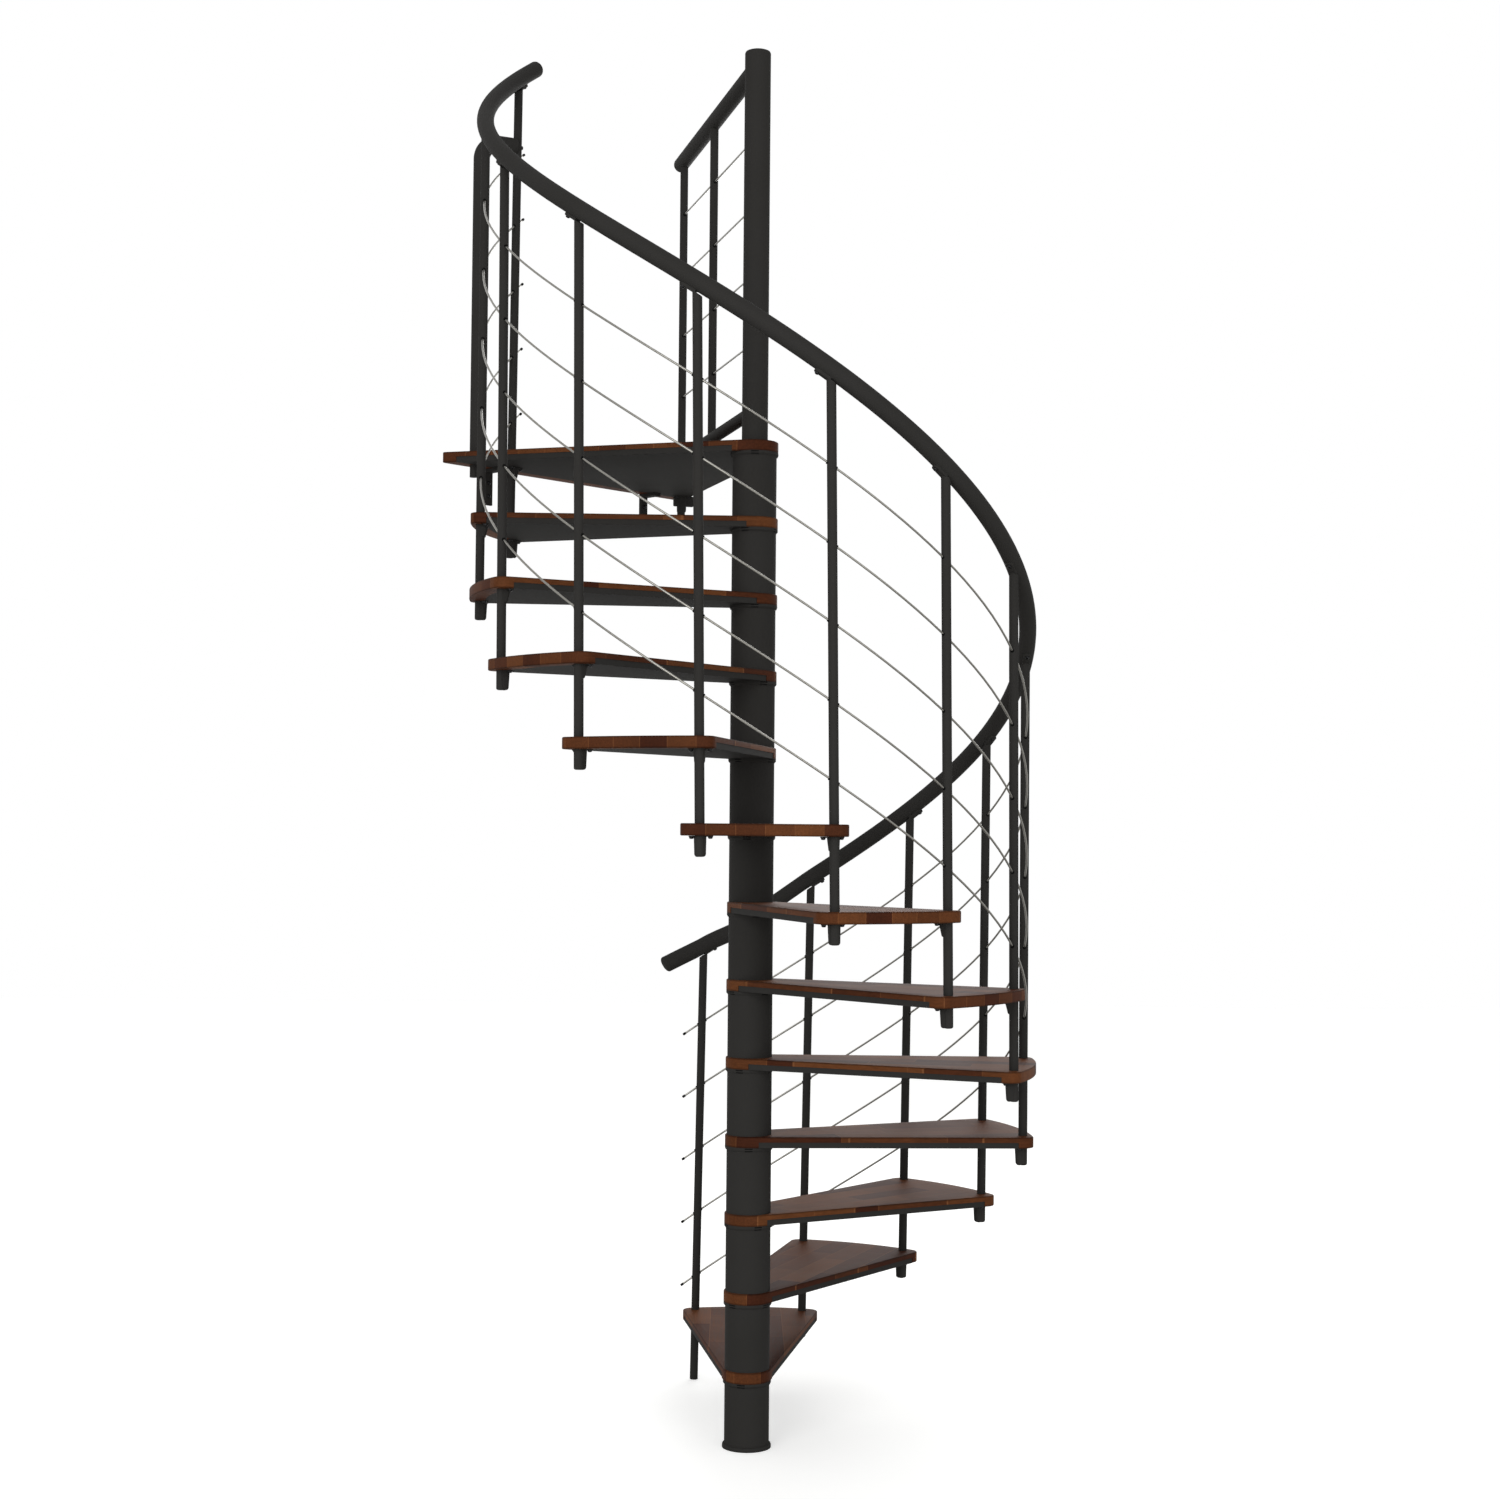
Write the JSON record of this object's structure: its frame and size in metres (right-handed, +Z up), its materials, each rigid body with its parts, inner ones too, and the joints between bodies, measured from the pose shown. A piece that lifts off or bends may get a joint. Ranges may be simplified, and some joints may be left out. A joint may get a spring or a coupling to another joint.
{
  "type": "spiral staircase",
  "caption": "Spiral staircase on a centre post, with wedge-shaped wooden treads, tube balusters, thin horizontal rods, a helical handrail and a corner landing.",
  "frame": {"origin": "on the post's axis, at the underside of the base flange", "axes": "+Z up along the post; -Y is the side the picture was taken from; the stair climbs clockwise seen from above"},
  "size_m": [1.5004, 1.4912, 3.5408],
  "materials": {
    "painted_steel": "satin anthracite",
    "wood": "lacquered",
    "stainless": "brushed"
  },
  "bodies": {
    "root": {"base_flange": "painted_steel", "centre_post": "painted_steel", "post_cap": "painted_steel", "column_spacers": "painted_steel", "tread_01": "wood", "tread_02": "wood", "tread_03": "wood", "tread_04": "wood", "tread_05": "wood", "tread_06": "wood", "tread_07": "wood", "tread_08": "wood", "tread_09": "wood", "tread_10": "wood", "tread_11": "wood", "tread_12": "wood", "landing_board": "wood", "tread_trays": "painted_steel", "landing_tray": "painted_steel", "baluster_01": "painted_steel", "baluster_02": "painted_steel", "baluster_03": "painted_steel", "baluster_04": "painted_steel", "baluster_05": "painted_steel", "baluster_06": "painted_steel", "baluster_07": "painted_steel", "baluster_08": "painted_steel", "baluster_09": "painted_steel", "baluster_10": "painted_steel", "baluster_11": "painted_steel", "baluster_12": "painted_steel", "baluster_13": "painted_steel", "upper_brackets": "painted_steel", "lower_brackets": "painted_steel", "rail_saddles": "painted_steel", "handrail": "painted_steel", "handrail_ends": "painted_steel", "rod_1": "stainless", "rod_2": "stainless", "rod_3": "stainless", "rod_4": "stainless", "rod_5": "stainless", "guard_rail": "painted_steel", "guard_lower_rail": "painted_steel", "guard_balusters": "painted_steel", "guard_rods": "stainless", "corner_guard_tube": "painted_steel", "wall_brackets": "painted_steel"}
  },
  "joints": []
}
